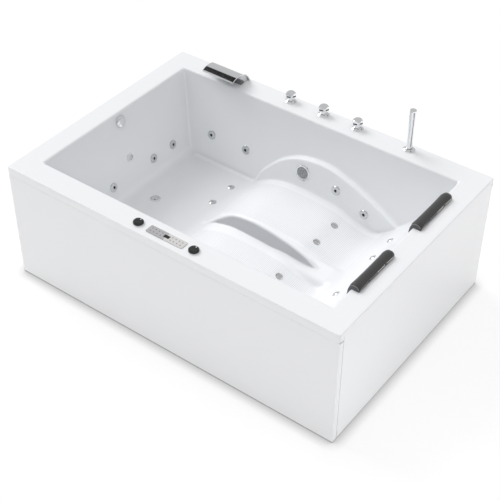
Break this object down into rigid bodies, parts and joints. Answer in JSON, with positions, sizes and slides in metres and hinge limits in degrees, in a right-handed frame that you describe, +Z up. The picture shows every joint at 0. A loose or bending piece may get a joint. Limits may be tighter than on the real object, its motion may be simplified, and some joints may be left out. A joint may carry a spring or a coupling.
{
  "type": "jetted bathtub",
  "caption": "Rectangular jetted bath for two side by side, with moulded seats, armrests, headrests, water jets, arched spout, deck taps and apron panels on a steel frame.",
  "frame": {"origin": "on the ground, in the middle of the tub's plan", "axes": "+X towards the headrests, +Y towards the wall with the taps, +Z up"},
  "size_m": [1.8, 1.25, 0.847],
  "materials": {
    "acrylic": "glossy",
    "apron_sheet": "glossy",
    "frame_steel": "satin",
    "board": "matte",
    "bright_chrome": "polished",
    "raw_steel": "brushed",
    "valve_brass": "satin",
    "foot_rubber": "matte",
    "pipe_plastic": "satin",
    "grey_plastic": "satin",
    "waste_plastic": "satin",
    "air_hose": "satin",
    "black_plastic": "glossy",
    "white_plastic": "glossy",
    "panel_face": "satin",
    "headrest_skin": "satin",
    "lamp_glass": "clear",
    "pump_plastic": "satin",
    "motor_paint": "satin",
    "rotor_steel": "brushed"
  },
  "bodies": {
    "tub": {"shell": "acrylic", "base_board": "board", "equipment_board": "board", "front_panel": "apron_sheet", "left_panel": "apron_sheet", "right_panel": "apron_sheet", "upper_frame": "frame_steel", "lower_frame": "frame_steel", "shell_supports": "frame_steel", "foot_screws": "raw_steel", "foot_pads": "foot_rubber", "drain_body": "bright_chrome", "overflow_body": "waste_plastic", "waste_pipes": "waste_plastic", "jet_rings": "bright_chrome", "jet_bodies": "pipe_plastic", "small_jet_faces": "bright_chrome", "small_jet_bodies": "pipe_plastic", "suction_cover": "bright_chrome", "suction_body": "pipe_plastic", "lamp_bezel": "bright_chrome", "lamp_lens": "lamp_glass", "spout_sheet": "bright_chrome", "spout_base": "bright_chrome", "tap_flanges": "bright_chrome", "tap_valves": "valve_brass", "handset_holder": "bright_chrome", "control_panel": "panel_face", "air_control_bodies": "white_plastic", "headrest_front": "headrest_skin", "headrest_back": "headrest_skin", "headrest_pegs": "raw_steel", "pump_housing": "pump_plastic", "pump_motor": "motor_paint", "heater": "raw_steel", "control_box": "white_plastic", "suction_pipe": "pipe_plastic", "pressure_pipes": "pipe_plastic", "air_pipes": "air_hose"},
    "hot_tap_knob": {"hot_tap_knob": "bright_chrome"},
    "cold_tap_knob": {"cold_tap_knob": "bright_chrome"},
    "diverter_knob": {"diverter_knob": "bright_chrome"},
    "air_knob_left": {"air_knob_left": "black_plastic"},
    "air_knob_right": {"air_knob_right": "black_plastic"},
    "overflow_knob": {"overflow_knob": "bright_chrome"},
    "drain_plug": {"drain_plug": "bright_chrome"},
    "handset": {"handset": "bright_chrome"},
    "pump_rotor": {"pump_rotor": "rotor_steel"},
    "foot_jet_nozzle_1": {"foot_jet_nozzle_1": "grey_plastic"},
    "foot_jet_nozzle_2": {"foot_jet_nozzle_2": "grey_plastic"},
    "foot_jet_nozzle_3": {"foot_jet_nozzle_3": "grey_plastic"},
    "foot_jet_nozzle_4": {"foot_jet_nozzle_4": "grey_plastic"},
    "wall_jet_nozzle_1": {"wall_jet_nozzle_1": "grey_plastic"},
    "wall_jet_nozzle_2": {"wall_jet_nozzle_2": "grey_plastic"},
    "wall_jet_nozzle_3": {"wall_jet_nozzle_3": "grey_plastic"},
    "wall_jet_nozzle_4": {"wall_jet_nozzle_4": "grey_plastic"},
    "arm_jet_nozzle_1": {"arm_jet_nozzle_1": "grey_plastic"},
    "arm_jet_nozzle_2": {"arm_jet_nozzle_2": "grey_plastic"},
    "arm_jet_nozzle_3": {"arm_jet_nozzle_3": "grey_plastic"},
    "arm_jet_nozzle_4": {"arm_jet_nozzle_4": "grey_plastic"}
  },
  "joints": [
    {"name": "hot_tap_turn", "type": "hinge", "parent": "tub", "child": "hot_tap_knob", "pos_m": [-0.184, 0.582, 0.66], "axis": [0, 0, 1], "range_deg": [0, 90]},
    {"name": "cold_tap_turn", "type": "hinge", "parent": "tub", "child": "cold_tap_knob", "pos_m": [0.008, 0.582, 0.66], "axis": [0, 0, 1], "range_deg": [0, 90]},
    {"name": "diverter_turn", "type": "hinge", "parent": "tub", "child": "diverter_knob", "pos_m": [0.2, 0.582, 0.66], "axis": [0, 0, 1], "range_deg": [0, 90]},
    {"name": "air_turn_left", "type": "hinge", "parent": "tub", "child": "air_knob_left", "pos_m": [-0.162, -0.573, 0.64], "axis": [0, 0, -1], "range_deg": [0, 120]},
    {"name": "air_turn_right", "type": "hinge", "parent": "tub", "child": "air_knob_right", "pos_m": [0.14, -0.573, 0.64], "axis": [0, 0, -1], "range_deg": [0, 120]},
    {"name": "overflow_turn", "type": "hinge", "parent": "tub", "child": "overflow_knob", "pos_m": [-0.77859, 0, 0.583], "axis": [0.9728, 0, 0.2317], "range_deg": [0, 90]},
    {"name": "plug_lift", "type": "slide", "parent": "tub", "child": "drain_plug", "axis": [0, 0, 1], "range_m": [0, 0.008]},
    {"name": "handset_lift_out", "type": "slide", "parent": "tub", "child": "handset", "axis": [0, 0, 1], "range_m": [0, 0.06]},
    {"name": "pump_spin", "type": "hinge", "parent": "tub", "child": "pump_rotor", "pos_m": [0.76, 0, 0.19], "axis": [0, 1, 0], "continuous": true},
    {"name": "foot_jet_tilt_1", "type": "hinge", "parent": "tub", "child": "foot_jet_nozzle_1", "pos_m": [-0.7182, -0.3, 0.30361], "axis": [0, 1, 0], "range_deg": [-12, 12]},
    {"name": "foot_jet_tilt_2", "type": "hinge", "parent": "tub", "child": "foot_jet_nozzle_2", "pos_m": [-0.7182, -0.15, 0.30361], "axis": [0, 1, 0], "range_deg": [-12, 12]},
    {"name": "foot_jet_tilt_3", "type": "hinge", "parent": "tub", "child": "foot_jet_nozzle_3", "pos_m": [-0.7182, 0.15, 0.30361], "axis": [0, 1, 0], "range_deg": [-12, 12]},
    {"name": "foot_jet_tilt_4", "type": "hinge", "parent": "tub", "child": "foot_jet_nozzle_4", "pos_m": [-0.7182, 0.3, 0.30361], "axis": [0, 1, 0], "range_deg": [-12, 12]},
    {"name": "wall_jet_tilt_1", "type": "hinge", "parent": "tub", "child": "wall_jet_nozzle_1", "pos_m": [-0.571, 0.45029, 0.34175], "axis": [1, 0, 0], "range_deg": [-12, 12]},
    {"name": "wall_jet_tilt_2", "type": "hinge", "parent": "tub", "child": "wall_jet_nozzle_2", "pos_m": [-0.354, 0.45029, 0.34175], "axis": [1, 0, 0], "range_deg": [-12, 12]},
    {"name": "wall_jet_tilt_3", "type": "hinge", "parent": "tub", "child": "wall_jet_nozzle_3", "pos_m": [-0.571, -0.45029, 0.34175], "axis": [1, 0, 0], "range_deg": [-12, 12]},
    {"name": "wall_jet_tilt_4", "type": "hinge", "parent": "tub", "child": "wall_jet_nozzle_4", "pos_m": [-0.354, -0.45029, 0.34175], "axis": [1, 0, 0], "range_deg": [-12, 12]},
    {"name": "arm_jet_tilt_1", "type": "hinge", "parent": "tub", "child": "arm_jet_nozzle_1", "pos_m": [0.2016, 0.42844, 0.35729], "axis": [1, 0, 0], "range_deg": [-12, 12]},
    {"name": "arm_jet_tilt_2", "type": "hinge", "parent": "tub", "child": "arm_jet_nozzle_2", "pos_m": [0.36987, 0.42116, 0.29623], "axis": [1, 0, 0], "range_deg": [-12, 12]},
    {"name": "arm_jet_tilt_3", "type": "hinge", "parent": "tub", "child": "arm_jet_nozzle_3", "pos_m": [0.2016, -0.42844, 0.35729], "axis": [1, 0, 0], "range_deg": [-12, 12]},
    {"name": "arm_jet_tilt_4", "type": "hinge", "parent": "tub", "child": "arm_jet_nozzle_4", "pos_m": [0.36987, -0.42116, 0.29623], "axis": [1, 0, 0], "range_deg": [-12, 12]}
  ],
  "couplings": [
    {"joint": "plug_lift", "follows": "overflow_turn", "m_per_rad": 0.005093}
  ]
}
